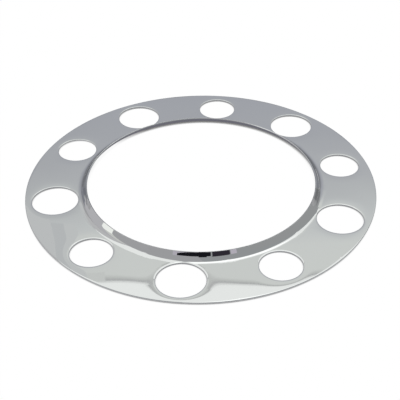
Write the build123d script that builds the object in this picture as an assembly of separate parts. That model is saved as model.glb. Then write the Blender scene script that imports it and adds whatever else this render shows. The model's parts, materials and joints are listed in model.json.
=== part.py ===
from build123d import *
import math
import os

# Wheel trim ring for a truck wheel: one pressing of polished stainless sheet.
# A slightly dished plate covers the circle of wheel nuts, and its inner edge is turned up into a leaning collar.
# Millimetres. The axis is Z, the collar's foot rests on Z = 0 and the polished face looks along +Z.

# Sheet
sheet_thickness = 1.5

# Wheel-nut holes: small and large ones take turns round the stud circle
stud_circle_diameter = 335.0
hole_pairs = 5
small_hole_diameter = 45.5
large_hole_diameter = 51.5

# Plate
rim_land = 7.25             # plate left outside the larger holes
hole_bite = 0.56            # how far the larger holes reach into the collar's bend
plate_dish = 1.2            # how much higher the rim stands than the collar's foot

# Collar
collar_lean = 54.0          # slope of the flank, in degrees
collar_bend_radius = 9.0    # bend at the collar's foot, on the polished face
collar_flank_length = 4.7   # straight run between the bend and the lip

# Edges
edge_break = 0.3            # bevel that deburring leaves on the rim and the lip
punch_draw = 0.6            # bevel that the punch drew down round each hole, on the polished face

# Radii that follow from these: the rim, and the end of the plate where the bend begins
rim_radius = (stud_circle_diameter + large_hole_diameter) / 2 + rim_land
bend_start_radius = (stud_circle_diameter - large_hole_diameter) / 2 + hole_bite

# The plate's slope, and the height of its inner end over the lowest line of the bend's back
back_bend_radius = collar_bend_radius + sheet_thickness
plate_slope = math.degrees(math.atan2(plate_dish, rim_radius - bend_start_radius))
plate_end_height = back_bend_radius * (1 - math.cos(math.radians(plate_slope)))

with BuildPart() as ring:
    # The section is the back face's line from the rim to the lip, thickened by the sheet
    with BuildSketch(Plane.XZ):
        with BuildLine():
            plate_end = (bend_start_radius, plate_end_height)
            plate = Line((rim_radius, plate_end_height + plate_dish), plate_end)
            bend = JernArc(plate @ 1, plate % 1, back_bend_radius, -(collar_lean + plate_slope))
            Line(bend @ 1, bend @ 1 + collar_flank_length * (bend % 1))
            offset(amount=sheet_thickness, side=Side.RIGHT)
        make_face()
    revolve(axis=Axis.Z)

    # The rim and the lip are cut square, with their sharp edges broken
    circles = ring.edges().filter_by(GeomType.CIRCLE)
    by_radius = circles.sort_by(SortBy.RADIUS)
    lip_edges = [by_radius[0], circles.sort_by(Axis.Z)[-1]]
    rim_edges = by_radius[-2:]
    chamfer(lip_edges + rim_edges, edge_break)

    # The holes go straight through, the larger ones partly in the bend. The drawn edge is a cone about each
    # hole, square to the sloping plate, from the plate's back to as far above it as the sheet is thick
    stud_radius = stud_circle_diameter / 2
    slope = math.radians(plate_slope)
    back_height = plate_end_height + (stud_radius - bend_start_radius) * math.tan(slope)
    draw_reach = sheet_thickness - punch_draw
    pair_angle = 360 / hole_pairs
    for first_angle, diameter in ((0, small_hole_diameter), (pair_angle / 2, large_hole_diameter)):
        with PolarLocations(stud_radius, hole_pairs, start_angle=first_angle):
            Hole(diameter / 2)
            with Locations(Location((0, 0, back_height), (0, -plate_slope, 0))):
                Cone(
                    bottom_radius=diameter / 2 - draw_reach,
                    top_radius=diameter / 2 - draw_reach + 2 * sheet_thickness,
                    height=2 * sheet_thickness,
                    align=(Align.CENTER, Align.CENTER, Align.MIN),
                    mode=Mode.SUBTRACT,
                )

trim_ring = ring.part
os.makedirs("parts", exist_ok=True)
export_step(trim_ring, "parts/trim_ring.step")
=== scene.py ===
import json
import math

import bmesh
import bpy
import numpy as np
from mathutils import Matrix, Vector


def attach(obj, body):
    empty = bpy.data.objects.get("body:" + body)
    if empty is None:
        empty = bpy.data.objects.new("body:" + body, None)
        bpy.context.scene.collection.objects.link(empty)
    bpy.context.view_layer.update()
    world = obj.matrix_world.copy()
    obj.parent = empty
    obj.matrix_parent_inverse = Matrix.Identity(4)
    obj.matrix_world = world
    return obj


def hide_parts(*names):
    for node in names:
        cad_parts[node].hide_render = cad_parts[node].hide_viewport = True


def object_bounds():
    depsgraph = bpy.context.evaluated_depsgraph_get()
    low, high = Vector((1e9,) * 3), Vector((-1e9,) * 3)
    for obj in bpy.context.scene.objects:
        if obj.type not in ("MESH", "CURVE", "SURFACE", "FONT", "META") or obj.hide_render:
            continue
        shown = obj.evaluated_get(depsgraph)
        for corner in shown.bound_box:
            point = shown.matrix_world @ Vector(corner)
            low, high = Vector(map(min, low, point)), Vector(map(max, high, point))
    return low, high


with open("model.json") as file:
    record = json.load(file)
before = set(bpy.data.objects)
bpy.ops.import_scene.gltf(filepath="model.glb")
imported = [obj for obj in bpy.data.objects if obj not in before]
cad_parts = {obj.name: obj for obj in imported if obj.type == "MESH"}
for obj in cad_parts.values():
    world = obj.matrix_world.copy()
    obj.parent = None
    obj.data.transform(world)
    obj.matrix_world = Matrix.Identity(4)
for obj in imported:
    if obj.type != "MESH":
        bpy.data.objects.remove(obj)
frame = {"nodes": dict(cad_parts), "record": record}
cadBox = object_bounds()
print("frame loaded:", sorted(frame["nodes"]))


# shared helpers

def linearColour(hexCode):
    # sRGB hex to linear RGBA: each channel through the sRGB curve
    channels = np.array([int(hexCode[i:i + 2], 16) for i in (1, 3, 5)]) / 255
    linear = np.where(channels <= 0.04045, channels / 12.92, ((channels + 0.055) / 1.055) ** 2.4)
    return (*linear.tolist(), 1.0)


def addNode(tree, kind, links=None, **settings):
    # one node with its settings, and its inputs set or linked by name or number
    node = tree.nodes.new(kind)
    for name, value in settings.items():
        setattr(node, name, value)
    for socket, value in (links or {}).items():
        if isinstance(value, bpy.types.NodeSocket):
            tree.links.new(value, node.inputs[socket])
        else:
            node.inputs[socket].default_value = value
    return node


def emptyMaterial(name):
    # a material whose node tree is still empty
    material = bpy.data.materials.new(name)
    material.use_nodes = True
    material.node_tree.nodes.clear()
    return material


def gridQuads(rows, columns):
    # quads between neighbouring rows and columns of a grid of points, the last column joined to the first
    row = np.arange(rows - 1)[:, None] * columns
    column = np.arange(columns)[None, :]
    following = (column + 1) % columns
    corners = np.stack([row + column, row + following, row + columns + following, row + columns + column], -1)
    return corners.reshape(-1, 4)


# the trim ring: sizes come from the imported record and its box, the section from the values here, in metres

ringSection = {
    "sheet": 0.0015,
    "plateDish": 0.0012,        # rise of the plate from the collar to the rim
    "collarLean": 54.0,         # degrees above level
    "collarBend": 0.009,        # on the polished face
    "collarFlank": 0.00463,     # 0.07 mm under the solid's, as its bevel takes more off the lip than this rounding
    "holeBite": 0.00056,        # reach of the larger holes into the bend
    "gridReach": 0.0048,        # how far into the bend the hole grids go before the collar grid takes over
    "lipRound": 0.0003,
    "lipCut": 0.25,             # share of the cut edge's finish on the lip, which was polished after it was cut
    "rimRound": 0.0006,
    "drawWidth": 0.0024,        # sheet that the punch drew down round each hole
    "drawDepth": 0.00014,
    "breakWidth": 0.0006,       # broken edge at the wall
    "breakDepth": 0.0003,
    "dipWidth": 0.0075,         # shallow dip of the sheet round each hole
    "dipDepth": 0.00010,
    "waveHeight": 0.000018,     # pressing leaves the plate very slightly wavy
    "waveLength": 0.11,
    "waves": ((0.9, 0.5, 0.0, 1.0), (0.4, -1.1, 1.7, 1.0), (1.5, 1.2, 0.6, 0.8)),     # direction, phase, strength
    "waveFade": 0.25,           # share of the plate's width over which the waves rise from the collar
}
ringGrid = {
    "arcSteps": 36,             # along the rim and the collar in each hole's sector
    "sideSteps": 32,            # along each radial side of a sector
    "plateRows": 16,
    "plateCrowding": 1.6,       # power that crowds the rows towards the hole
    "drawRows": 10,
    "drawCrowding": 1.7,
    "bendRows": 24,
    "flankRows": 4,
    "roundRows": 4,
    "weld": 2e-6,               # points closer than this become one
}

mounts = {mount["name"]: mount["dims"] for mount in frame["record"]["mounts"]}
studRadius = mounts["small_nut_holes"]["pcd_mm"] / 2000
smallRadius = mounts["small_nut_holes"]["hole_r_mm"] / 1000
largeRadius = mounts["large_nut_holes"]["hole_r_mm"] / 1000
holeCount = mounts["small_nut_holes"]["count"] + mounts["large_nut_holes"]["count"]
rimRadius = cadBox[1].x
bendStart = studRadius - largeRadius + ringSection["holeBite"]
joinRadius = bendStart - ringSection["gridReach"]
flatRim = rimRadius - ringSection["rimRound"]
halfSector = math.pi / holeCount
plateSlope = math.atan2(ringSection["plateDish"], rimRadius - bendStart)
backBend = ringSection["collarBend"] + ringSection["sheet"]
bendCentre = np.array([bendStart - backBend * math.sin(plateSlope), backBend])


def sheetHeights(radius):
    # front and back faces over a radius: a straight slope outside the bend, arcs about one centre inside it
    inward = bendCentre[0] - radius
    heights = []
    for bend in (ringSection["collarBend"], backBend):
        arc = bendCentre[1] - np.sqrt(np.clip(bend ** 2 - inward ** 2, 0, None))
        line = bendCentre[1] - bend / math.cos(plateSlope) - inward * math.tan(plateSlope)
        heights.append(np.where(inward > -bend * math.sin(plateSlope), arc, line))
    return heights


def pressWave(x, y):
    # three crossing sine waves of unlike direction, faded out at the foot of the collar
    turn = 2 * math.pi / ringSection["waveLength"]
    wave = 0
    for alongX, alongY, phase, strength in ringSection["waves"]:
        wave = wave + strength * np.sin(turn * (alongX * x + alongY * y) + phase)
    fade = np.clip((np.hypot(x, y) - bendStart) / (rimRadius - bendStart) / ringSection["waveFade"], 0, 1)
    return ringSection["waveHeight"] * wave * fade


def sectorLoop():
    # closed outline of one hole's sector about its own hole: two radial sides, the rim's arc and the collar's arc
    side = np.linspace(0, 1, ringGrid["sideSteps"], endpoint=False)
    arc = np.linspace(0, 1, ringGrid["arcSteps"], endpoint=False)
    radius = np.concatenate([
        joinRadius + (flatRim - joinRadius) * side, np.full(arc.size, flatRim),
        flatRim + (joinRadius - flatRim) * side, np.full(arc.size, joinRadius)])
    angle = halfSector * np.concatenate([
        np.full(side.size, -1.0), 2 * arc - 1, np.full(side.size, 1.0), 1 - 2 * arc])
    return radius * np.cos(angle) - studRadius, radius * np.sin(angle)


def holeGrid(holeAngle, holeRadius):
    # rays from the hole's centre to its sector's outline, carried over the front, down the wall and out on the back
    loopX, loopY = sectorLoop()
    reach = np.hypot(loopX, loopY)
    width = ringSection["drawWidth"]
    roll = np.linspace(0, 1, ringGrid["drawRows"]) ** ringGrid["drawCrowding"]
    spread = np.linspace(0, 1, ringGrid["plateRows"] + 1)[1:] ** ringGrid["plateCrowding"]
    room = (reach - holeRadius - width)[None, :]
    frontRows = np.concatenate([np.repeat(width * roll[:, None], reach.size, 1), width + spread[:, None] * room])
    edge = ringSection["lipRound"] / 2
    backRows = edge + np.linspace(0, 1, ringGrid["plateRows"] // 2)[:, None] * (room + width - edge)
    distance = np.concatenate([frontRows[::-1], np.zeros((1, reach.size)), backRows])
    x = studRadius + loopX / reach * (holeRadius + distance)
    y = loopY / reach * (holeRadius + distance)
    front, back = sheetHeights(np.hypot(x, y))
    turnedX = x * math.cos(holeAngle) - y * math.sin(holeAngle)
    turnedY = x * math.sin(holeAngle) + y * math.cos(holeAngle)
    # the drawn sheet and the broken edge each fall with the square of the nearness to the wall; the dip is a bell
    # curve of the distance from the wall, faded to nothing at the sector's outline
    drawn = ringSection["drawDepth"] * np.clip(1 - distance / width, 0, 1) ** 2
    drawn = drawn + ringSection["breakDepth"] * np.clip(1 - distance / ringSection["breakWidth"], 0, 1) ** 2
    fade = (1 - distance / (reach - holeRadius)) ** 2
    dip = ringSection["dipDepth"] * fade * np.exp(-(distance / ringSection["dipWidth"]) ** 2)
    front = front + pressWave(turnedX, turnedY) - drawn - dip
    frontCount = frontRows.shape[0]
    height = np.where(np.arange(distance.shape[0])[:, None] < frontCount, front, back)
    height[frontCount] = back[frontCount] + edge
    cut = np.zeros_like(height)
    cut[frontCount - 1:frontCount + 1] = 1
    under = np.zeros_like(height)
    under[frontCount + 1:] = 1
    return np.stack([turnedX, turnedY, height], -1), cut, under


def roundCorner(centre, size, startAngle, endAngle):
    # points of a small arc in the section plane, angles in degrees from outwards
    angle = np.radians(np.linspace(startAngle, endAngle, ringGrid["roundRows"] + 1))
    return np.asarray(centre) + size * np.stack([np.cos(angle), np.sin(angle)], -1)


def turnSection(section):
    # the section's radius and height carried round the axis in even steps
    angle = np.linspace(0, 2 * math.pi, holeCount * ringGrid["arcSteps"], endpoint=False) - halfSector
    height = np.repeat(section[:, 1:], angle.size, 1)
    return section[:, :1] * np.cos(angle), section[:, :1] * np.sin(angle), height


def collarGrid():
    # section from the front of the bend up the flank, over the cut lip and back down
    lean, size = ringSection["collarLean"], ringSection["lipRound"]
    tilt = math.radians(lean)
    along = np.array([-math.cos(tilt), math.sin(tilt)])
    outward = np.array([math.sin(tilt), math.cos(tilt)])
    inward = bendCentre[0] - joinRadius

    def bendArc(radius):
        # an arc about the bend's centre, from where the hole grids end to the start of the flank
        angle = np.linspace(math.asin(inward / radius), tilt, ringGrid["bendRows"])
        return bendCentre + radius * np.stack([-np.sin(angle), -np.cos(angle)], -1)

    frontArc = bendArc(ringSection["collarBend"])
    backArc = bendArc(backBend)[::-1]
    # rows close to both ends keep the flank flat between them
    flank = ringSection["collarFlank"]
    reach = np.linspace(size, flank - 2 * size, ringGrid["flankRows"])[:, None] * along
    lipFront = frontArc[-1] + flank * along
    lipBack = backArc[0] + flank * along
    outAngle = 90 - lean
    lip = np.concatenate([
        roundCorner(lipFront - size * (along + outward), size, outAngle, outAngle + 90),
        roundCorner(lipBack - size * (along - outward), size, outAngle + 90, outAngle + 180)])
    front = np.concatenate([frontArc, frontArc[-1] + reach])
    back = np.concatenate([backArc[0] + reach[::-1], backArc])
    x, y, height = turnSection(np.concatenate([front, lip, back]))
    cut = np.zeros_like(height)
    cut[len(front) + 1:len(front) + len(lip) - 1] = ringSection["lipCut"]
    under = np.zeros_like(height)
    under[len(front) + len(lip) - 1:] = 1
    return np.stack([x, y, height], -1), cut, under


def rimGrid():
    # section over the rim's cut edge from the front face to the back
    size = ringSection["rimRound"]
    front, back = sheetHeights(flatRim)
    x, y, height = turnSection(np.concatenate([
        roundCorner((flatRim, front - size), size, 90, 0), roundCorner((flatRim, back + size), size, 0, -90)]))
    # the front edge follows the plate's wave and the back edge stays level
    wave = pressWave(flatRim * x / np.hypot(x, y), flatRim * y / np.hypot(x, y))
    height = height + wave * (height - back) / (front - back)
    cut = np.zeros_like(height)
    cut[1:-1] = 1
    under = np.zeros_like(height)
    under[-1:] = 1
    return np.stack([x, y, height], -1), cut, under


def makeTrimRing():
    # the collar, the rim and every hole's sector in one mesh, with marks for the cut edges and the back face
    grids = [collarGrid(), rimGrid()]
    for hole in range(holeCount):
        grids.append(holeGrid(2 * halfSector * hole, (smallRadius, largeRadius)[hole % 2]))
    places, cuts, unders = zip(*grids)
    quads, first = [], 0
    for grid in places:
        rows, columns = grid.shape[:2]
        quads.append(gridQuads(rows, columns) + first)
        first += rows * columns
    points = np.concatenate([grid.reshape(-1, 3) for grid in places])
    mesh = bpy.data.meshes.new("trimRing")
    mesh.from_pydata(points.tolist(), [], np.concatenate(quads).tolist())
    for name, marks in (("cutEdge", cuts), ("backFace", unders)):
        values = np.concatenate([grid.ravel() for grid in marks]).astype(np.float32)
        mesh.attributes.new(name, "FLOAT", "POINT").data.foreach_set("value", values)
    # the grids share their outlines, so welding them closes the shell
    shell = bmesh.new()
    shell.from_mesh(mesh)
    bmesh.ops.remove_doubles(shell, verts=shell.verts, dist=ringGrid["weld"])
    bmesh.ops.recalc_face_normals(shell, faces=shell.faces)
    openEdges = sum(1 for edge in shell.edges if len(edge.link_faces) != 2)
    shell.to_mesh(mesh)
    shell.free()
    mesh.polygons.foreach_set("use_smooth", np.ones(len(mesh.polygons), bool))
    piece = bpy.data.objects.new("trimRing", mesh)
    bpy.context.scene.collection.objects.link(piece)
    print("trim ring:", len(mesh.vertices), "points,", len(mesh.polygons), "faces,", openEdges, "open edges")
    return piece


# mirror polished stainless sheet: a bright cool mirror, very slightly hazed by its polishing lines,
# with duller sheared edges and a satin mill finish on the back

polishedSteel = {
    "face": "#D3D4D4",
    "edge": "#B7B9BB",
    "back": "#CFCFD4",
    "faceRoughness": (0.014, 0.032),
    "edgeRoughness": 0.28,
    "backRoughness": 0.34,
    "lineSpacing": 0.0012,      # polishing lines, about four times as coarse as the real 0.3 mm so that they show
    "lineRun": 12,              # how often they change in a metre of their length
    "lineDetail": 3.0,
    "lineStrength": 0.03,
    "lineDepth": 0.00002,
    "smearSize": 0.06,          # patches of haze
    "smearDetail": 4.0,
    "hazeRange": (0.1, 0.4),    # lines times patches, at the clearest mirror and at the haziest
}


def makePolishedSteel():
    # roughness is a haze of lines times patches on the face, and one value each on the cut edges and the back
    material = emptyMaterial("mirrorPolishedStainless")
    tree = material.node_tree
    look = polishedSteel
    place = addNode(tree, "ShaderNodeTexCoord").outputs["Object"]
    stretch = (1 / look["lineSpacing"], look["lineRun"], look["lineRun"])
    lines = addNode(tree, "ShaderNodeMapping", {"Vector": place, "Scale": stretch})
    grain = addNode(tree, "ShaderNodeTexNoise", {
        "Vector": lines.outputs[0], "Scale": 1.0, "Detail": look["lineDetail"]})
    smear = addNode(tree, "ShaderNodeTexNoise", {
        "Vector": place, "Scale": 1 / look["smearSize"], "Detail": look["smearDetail"]})
    haze = addNode(tree, "ShaderNodeMath", {0: grain.outputs[0], 1: smear.outputs[0]}, operation="MULTIPLY")
    clear, hazy = look["hazeRange"]
    low, high = look["faceRoughness"]
    faceRough = addNode(tree, "ShaderNodeMapRange", {
        "Value": haze.outputs[0], "From Min": clear, "From Max": hazy, "To Min": low, "To Max": high})
    cut = addNode(tree, "ShaderNodeAttribute", attribute_name="cutEdge").outputs["Fac"]
    under = addNode(tree, "ShaderNodeAttribute", attribute_name="backFace").outputs["Fac"]
    edgeRough = addNode(tree, "ShaderNodeMix", {0: cut, 2: faceRough.outputs[0], 3: look["edgeRoughness"]})
    rough = addNode(tree, "ShaderNodeMix", {0: under, 2: edgeRough.outputs[0], 3: look["backRoughness"]})
    edgeTint = addNode(tree, "ShaderNodeMix", {
        0: cut, 6: linearColour(look["face"]), 7: linearColour(look["edge"])}, data_type="RGBA")
    tint = addNode(tree, "ShaderNodeMix", {
        0: under, 6: edgeTint.outputs[2], 7: linearColour(look["back"])}, data_type="RGBA")
    bump = addNode(tree, "ShaderNodeBump", {
        "Height": grain.outputs[0], "Strength": look["lineStrength"], "Distance": look["lineDepth"]})
    shader = addNode(tree, "ShaderNodeBsdfPrincipled", {
        "Base Color": tint.outputs[2], "Roughness": rough.outputs[0], "Normal": bump.outputs[0], "Metallic": 1.0})
    addNode(tree, "ShaderNodeOutputMaterial", {"Surface": shader.outputs[0]})
    return material


ring = makeTrimRing()
ring.data.materials.append(makePolishedSteel())
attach(ring, "root")
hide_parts("trim_ring")
print("trim ring dressed")


# stage: a white floor under a broad overhead light, and a tent of grey cloth that only the metal reflects

tent = {
    "turn": -13.5,              # degrees about the axis, nearly square to the camera
    "back": (1.585, 1.741),     # the back wall's distance at the left wall and at the right one
    "side": 1.6,
    "front": 1.6,
    "top": 1.56,
    "low": -0.02,               # the walls end under the floor
    "greyLeft": (0.49, 0.49, 0.505),      # front wall and the rest of the ceiling, left and right of the middle
    "greyRight": (0.415, 0.43, 0.44),
    "leftWall": (0.50, 0.50, 0.515),
    "rightWall": (0.42, 0.43, 0.435),
    "seam": 0.012,              # darker hem between the back wall and the ceiling
    "seamProud": 0.004,         # how far it stands in front of that wall
    "seamGlow": (0.59, 0.60, 0.60),
    "fallFrom": 0.05,           # the back wall dims from here towards the left
    "fallTo": -0.45,
    "fallShare": 0.92,
    # glow by share of the height: the back wall is cool and dim below, neutral and pale above, dimmer under the hem
    "backGlow": (
        (0.0, (0.20, 0.21, 0.23)), (0.16, (0.27, 0.275, 0.30)), (0.577, (0.515, 0.53, 0.58)),
        (0.673, (0.545, 0.56, 0.60)), (0.737, (0.60, 0.615, 0.645)), (0.8, (0.665, 0.685, 0.70)),
        (0.865, (0.785, 0.81, 0.81)), (0.91, (0.855, 0.88, 0.86)), (0.981, (0.86, 0.885, 0.86)),
        (0.9925, (0.70, 0.72, 0.70))),
}
# other parts of the ceiling: front line, where they end on the left and at the back, hang and glow
ceilings = {
    "paleCeiling": (((-1.6, -0.35), (-0.7, -0.1)), -1.6, 1.75, 0.0005, (0.68, 0.68, 0.69)),
    "brightCeiling": (
        ((-1.22, -0.20), (-0.58, 0.10), (-0.2, 0.33), (0.32, 0.34), (0.71, 0.42), (1.17, 0.87)),
        -0.62, 1.75, 0.001, (1.17, 1.19, 1.17)),
    "shadeCeiling": (((-0.62, 1.618), (1.17, 1.705)), -0.62, 1.75, 0.0015, (0.97, 0.985, 0.97)),
    "lampCeiling": (((-0.15, 0.42), (0.62, 0.46)), -0.15, 1.25, 0.002, (1.6, 1.62, 1.6)),
}
# flat cards hung in the tent: middle, turn about the upright, width, height and glow
cards = {
    "darkCard": ((0.007, -0.34, 0.1297), 0, 0.094, 0.0236, (0.012, 0.012, 0.016)),
    "darkTop": ((0.018, -0.34, 0.1615), 0, 0.036, 0.087, (0.012, 0.012, 0.016)),
    "darkArm": ((-0.0678, -0.34, 0.1268), 0, 0.0556, 0.0178, (0.012, 0.012, 0.016)),
    "dimCard": ((0.1040, -0.34, 0.154), 0, 0.087, 0.072, (0.039, 0.034, 0.047)),
    "paleStripLeft": ((-0.079, -0.342, 0.132), 0, 0.078, 0.028, (0.62, 0.59, 0.66)),
    "paleStripRight": ((0.1695, -0.34, 0.1415), 0, 0.035, 0.047, (0.66, 0.62, 0.70)),
    "sideCard": ((-1.45, -0.13, 0.33), 90, 0.30, 0.34, (1.25, 1.27, 1.22)),
    "sideCardTop": ((-1.45, -0.13, 1.01), 90, 0.30, 1.02, (0.80, 0.81, 0.78)),
    "leftPale": ((-1.58, 0.38, 0.75), 90, 1.16, 1.5, (0.63, 0.625, 0.65)),
    "leftShade": ((-1.57, 1.3, 0.33), 90, 0.7, 0.68, (0.29, 0.30, 0.34)),
    "rightShade": ((1.57, 1.35, 0.33), 90, 0.6, 0.68, (0.27, 0.275, 0.285)),
    "backPanel": ((-1.10, 1.602, 1.42), 2.8, 1.0, 0.28, (0.735, 0.75, 0.755)),
    "backShadeLeft": ((-0.575, 1.628, 1.44), 2.8, 0.05, 0.24, (0.68, 0.70, 0.71)),
    "backShadeRight": ((-0.525, 1.630, 1.44), 2.8, 0.05, 0.24, (0.75, 0.77, 0.77)),
    "backEnd": ((-0.468, 1.633, 1.53), 2.8, 0.064, 0.06, (0.80, 0.82, 0.80)),
}
# dim mats of painted shade on the floor, seen only in the metal, by their radii: inside the ring's foot, under the
# plate and outside
# the metal sees the floor darker through them than the camera does, darkest inside the foot
matLevel, matSteps = -0.0001, 96
mats = {
    "innerShadeMat": (0.001, 0.1405, (0.22, 0.218, 0.25)),
    "middleShadeMat": (0.1405, 0.2008, (0.64, 0.64, 0.66)),
    "outerShadeMat": (0.216, 1.5, (0.48, 0.48, 0.49)),
}


def stageMesh(name, points, quads, material):
    # a plain mesh that belongs to the stage and not to the ring
    mesh = bpy.data.meshes.new(name)
    mesh.from_pydata(points, [], quads)
    mesh.materials.append(material)
    piece = bpy.data.objects.new(name, mesh)
    bpy.context.scene.collection.objects.link(piece)
    return piece


def reflectionOnly(name, points, quads, material):
    # shows in the metal alone and neither lights nor shades the floor; turned about the axis by the tent's angle
    turn = Matrix.Rotation(math.radians(tent["turn"]), 3, "Z")
    piece = stageMesh(name, [turn @ Vector(point) for point in points], quads, material)
    piece.visible_camera = False
    piece.visible_diffuse = False
    piece.visible_shadow = False


def plainGlow(name, glow):
    # evenly lit cloth or card, its glow in linear RGB
    material = emptyMaterial(name)
    light = addNode(material.node_tree, "ShaderNodeEmission", {"Color": (*glow, 1), "Strength": 1.0})
    addNode(material.node_tree, "ShaderNodeOutputMaterial", {"Surface": light.outputs[0]})
    return material


def wallCloth(name, glows):
    # glow that rises with height, as cloth lit from above, and falls a little towards the left
    material = emptyMaterial(name)
    tree = material.node_tree
    place = addNode(tree, "ShaderNodeTexCoord").outputs["Object"]
    axes = addNode(tree, "ShaderNodeSeparateXYZ", {0: place}).outputs
    share = addNode(tree, "ShaderNodeMath", {0: axes["Z"], 1: tent["top"]}, operation="DIVIDE")
    ramp = addNode(tree, "ShaderNodeValToRGB", {0: share.outputs[0]})
    stops = ramp.color_ramp.elements
    while len(stops) < len(glows):
        stops.new(0.5)
    for stop, (position, glow) in zip(stops, glows):
        stop.position = position
        stop.color = (*glow, 1)
    fall = addNode(tree, "ShaderNodeMapRange", {
        "Value": axes["X"], "From Min": tent["fallTo"], "From Max": tent["fallFrom"],
        "To Min": tent["fallShare"], "To Max": 1.0})
    light = addNode(tree, "ShaderNodeEmission", {"Color": ramp.outputs[0], "Strength": fall.outputs[0]})
    addNode(tree, "ShaderNodeOutputMaterial", {"Surface": light.outputs[0]})
    return material


def makeTent():
    # flat walls and ceilings, a hem along the back, round mats of painted shade on the floor and the cards
    side, front, top, low = (tent[key] for key in ("side", "front", "top", "low"))
    backLeft, backRight = tent["back"]
    hem, proud = top - tent["seam"], tent["seamProud"]
    quad = [(0, 1, 2, 3)]
    for name, edge, back, wall, grey in (
            ("Left", -side, backLeft, "leftWall", "greyLeft"), ("Right", side, backRight, "rightWall", "greyRight")):
        reflectionOnly("tent" + name, [
            (edge, -front, low), (edge, back, low), (edge, back, top), (edge, -front, top),
        ], quad, plainGlow("sideCloth" + name, tent[wall]))
        reflectionOnly("tentFront" + name, [
            (0, -front, low), (edge, -front, low), (edge, -front, top), (0, -front, top),
            (edge, backRight, top), (0, backRight, top),
        ], [(0, 1, 2, 3), (3, 2, 4, 5)], plainGlow("greyCloth" + name, tent[grey]))
    reflectionOnly("tentBack", [
        (-side, backLeft, low), (side, backRight, low), (side, backRight, top), (-side, backLeft, top),
    ], quad, wallCloth("backCloth", tent["backGlow"]))
    for name, (line, left, reach, hang, glow) in ceilings.items():
        level, count = top - hang, len(line)
        points = [(x, y, level) for x, y in line] + [(max(x, left), reach, level) for x, y in line]
        strip = [(i, i + 1, i + 1 + count, i + count) for i in range(count - 1)]
        reflectionOnly(name, points, strip, plainGlow(name, glow))
    reflectionOnly("tentSeam", [
        (-side, backLeft - proud, hem), (side, backRight - proud, hem),
        (side, backRight - proud, top), (-side, backLeft - proud, top),
    ], quad, plainGlow("seamCloth", tent["seamGlow"]))
    angle = np.linspace(0, 2 * math.pi, matSteps, endpoint=False)
    # the mats of painted shade, seen only in the metal
    for name, (inner, outer, glow) in mats.items():
        radius = np.repeat([[inner], [outer]], angle.size, 1)
        points = np.stack([radius * np.cos(angle), radius * np.sin(angle), np.full_like(radius, matLevel)], -1)
        faces = gridQuads(2, matSteps).tolist()
        reflectionOnly(name, points.reshape(-1, 3).tolist(), faces, plainGlow(name, glow))
    for name, (middle, turn, width, height, glow) in cards.items():
        across = Vector((math.cos(math.radians(turn)), math.sin(math.radians(turn)), 0)) * width / 2
        rise = Vector((0, 0, height / 2))
        corners = [Vector(middle) + i * across + j * rise for i, j in ((-1, -1), (1, -1), (1, 1), (-1, 1))]
        reflectionOnly(name, corners, quad, plainGlow(name, glow))


def seenDirectly(tree):
    # 1 for what the camera sees, also in metal or through glass, and 0 for light on its way to other things
    path = addNode(tree, "ShaderNodeLightPath").outputs
    seen = addNode(tree, "ShaderNodeMath", {0: path["Is Camera Ray"], 1: path["Is Glossy Ray"]}, operation="ADD")
    seenAll = addNode(tree, "ShaderNodeMath", {0: seen.outputs[0], 1: path["Is Transmission Ray"]},
                      operation="ADD", use_clamp=True)
    return seenAll.outputs[0]


floorLook = {
    "reach": 6.0,
    "level": -0.0002,           # just under the ring's foot
    "paint": "#F4F4F4",
    "whiteShare": 0.94,         # the rest is left to the light, so that the ring's shadow stays
    "shadowReach": 0.004,       # painted contact shadow: how far it goes from the ring
    "shadowSamples": 8,
    "shadowOpen": (0.2, 0.75),  # how open the floor is where the shadow is full, and where it ends
    "shadowTone": 0.18,         # white that is left in the full shadow
    "farLeft": (-0.103, 0.087, 0),        # the painted contact shadow is left out here, under the far left of the collar
    "farLeftReach": (0.02, 0.07),         # distances from there to no shadow and to the full one
    "rimReach": (0.1988, 0.2008),         # radii over which the shadow ends at the rim
    "rimTone": 0.9,
}


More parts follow.
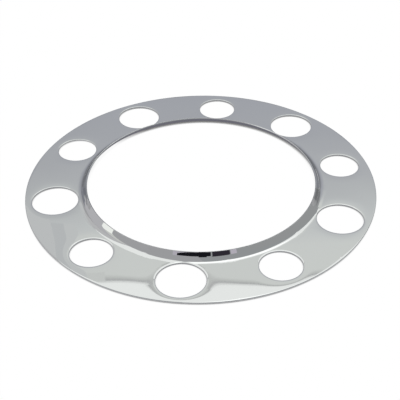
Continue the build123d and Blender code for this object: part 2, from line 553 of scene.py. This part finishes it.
def makeFloor():
    # white to the eye and in the metal, with a painted contact shadow: the white glow dims where the ring stands
    # close over the floor
    look = floorLook
    material = emptyMaterial("whiteFloor")
    tree = material.node_tree
    share = addNode(tree, "ShaderNodeMath", {0: seenDirectly(tree), 1: look["whiteShare"]}, operation="MULTIPLY")
    matt = addNode(tree, "ShaderNodeBsdfDiffuse", {"Color": linearColour(look["paint"])})
    place = addNode(tree, "ShaderNodeTexCoord").outputs["Object"]
    # darkest tone of the painted shadow by place: the larger of what the far left and the rim leave
    away = addNode(tree, "ShaderNodeVectorMath", {0: place, 1: look["farLeft"]}, operation="DISTANCE")
    none, full = look["farLeftReach"]
    atLeft = addNode(tree, "ShaderNodeMapRange", {
        "Value": away.outputs["Value"], "From Min": none, "From Max": full,
        "To Min": 1.0, "To Max": look["shadowTone"]})
    out = addNode(tree, "ShaderNodeVectorMath", {0: place}, operation="LENGTH")
    inner, outer = look["rimReach"]
    atRim = addNode(tree, "ShaderNodeMapRange", {
        "Value": out.outputs["Value"], "From Min": inner, "From Max": outer,
        "To Min": 0.0, "To Max": look["rimTone"]})
    darkest = addNode(tree, "ShaderNodeMath", {0: atLeft.outputs[0], 1: atRim.outputs[0]}, operation="MAXIMUM")
    # painted contact shadow: the white glow follows how closed in the floor is under the ring
    cover = addNode(tree, "ShaderNodeAmbientOcclusion", {
        "Distance": look["shadowReach"]}, samples=look["shadowSamples"])
    closed, opened = look["shadowOpen"]
    tone = addNode(tree, "ShaderNodeMapRange", {
        "Value": cover.outputs["AO"], "From Min": closed, "From Max": opened,
        "To Min": darkest.outputs[0], "To Max": 1.0})
    white = addNode(tree, "ShaderNodeEmission", {"Color": (1, 1, 1, 1), "Strength": tone.outputs[0]})
    mixed = addNode(tree, "ShaderNodeMixShader", {0: share.outputs[0], 1: matt.outputs[0], 2: white.outputs[0]})
    addNode(tree, "ShaderNodeOutputMaterial", {"Surface": mixed.outputs[0]})
    reach, level = look["reach"], look["level"]
    points = [(x * reach, y * reach, level) for x, y in ((-1, -1), (1, -1), (1, 1), (-1, 1))]
    stageMesh("floor", points, [(0, 1, 2, 3)], material)


studioLight = {
    "allRound": 0.2,            # strength of the world on the ring and the floor
    "background": 1.0,          # white where nothing else stands behind the ring
    "overhead": 3.15,
    "overheadWidth": 16,        # degrees, as the lean and the turn
    "overheadLean": 24,         # from straight down, from behind the camera
    "overheadTurn": -10.4,
    "overheadPlace": (0, 0, 2),
}


def makeWorld():
    # a little light from all round, and plain white to the eye
    world = bpy.data.worlds.new("studio")
    bpy.context.scene.world = world
    world.use_nodes = True
    tree = world.node_tree
    tree.nodes.clear()
    soft = addNode(tree, "ShaderNodeBackground", {"Color": (1, 1, 1, 1), "Strength": studioLight["allRound"]})
    white = addNode(tree, "ShaderNodeBackground", {"Color": (1, 1, 1, 1), "Strength": studioLight["background"]})
    mixed = addNode(tree, "ShaderNodeMixShader", {0: seenDirectly(tree), 1: soft.outputs[0], 2: white.outputs[0]})
    addNode(tree, "ShaderNodeOutputWorld", {"Surface": mixed.outputs[0]})


def makeLamp():
    # broad light from high behind the camera; its own shadow in the gap under the far collar is faint, and the
    # painted contact shadow on the floor darkens that gap
    lamp = bpy.data.lights.new("overhead", "SUN")
    lamp.energy = studioLight["overhead"]
    lamp.angle = math.radians(studioLight["overheadWidth"])
    lean, turn = math.radians(studioLight["overheadLean"]), math.radians(studioLight["overheadTurn"])
    holder = bpy.data.objects.new("overhead", lamp)
    holder.location = studioLight["overheadPlace"]
    holder.rotation_euler = (lean, 0, turn)
    holder.visible_glossy = False
    bpy.context.scene.collection.objects.link(holder)


view = {
    "place": (-0.13961, -0.76147, 0.55672),
    "aim": (0.01827, -0.03894, 0.002),
    "roll": 0.183,              # degrees
    "lens": 73.937,             # millimetres, as the sensor
    "sensor": 36,
    "shift": -0.06,
    "clip": (0.01, 50),
}


def makeCamera():
    # looks along the line from its place to the aim, then rolls about that line
    data = bpy.data.cameras.new("photoCamera")
    data.sensor_width = view["sensor"]
    data.lens = view["lens"]
    data.shift_x = view["shift"]
    data.clip_start, data.clip_end = view["clip"]
    camera = bpy.data.objects.new("photoCamera", data)
    bpy.context.scene.collection.objects.link(camera)
    look = Vector(view["aim"]) - Vector(view["place"])
    turn = look.to_track_quat("-Z", "Y").to_matrix() @ Matrix.Rotation(math.radians(view["roll"]), 3, "Z")
    camera.matrix_world = Matrix.Translation(view["place"]) @ turn.to_4x4()
    bpy.context.scene.camera = camera


makeTent()
makeFloor()
makeWorld()
makeLamp()
makeCamera()
bpy.context.scene.view_settings.view_transform = "Standard"
print("stage and camera ready")
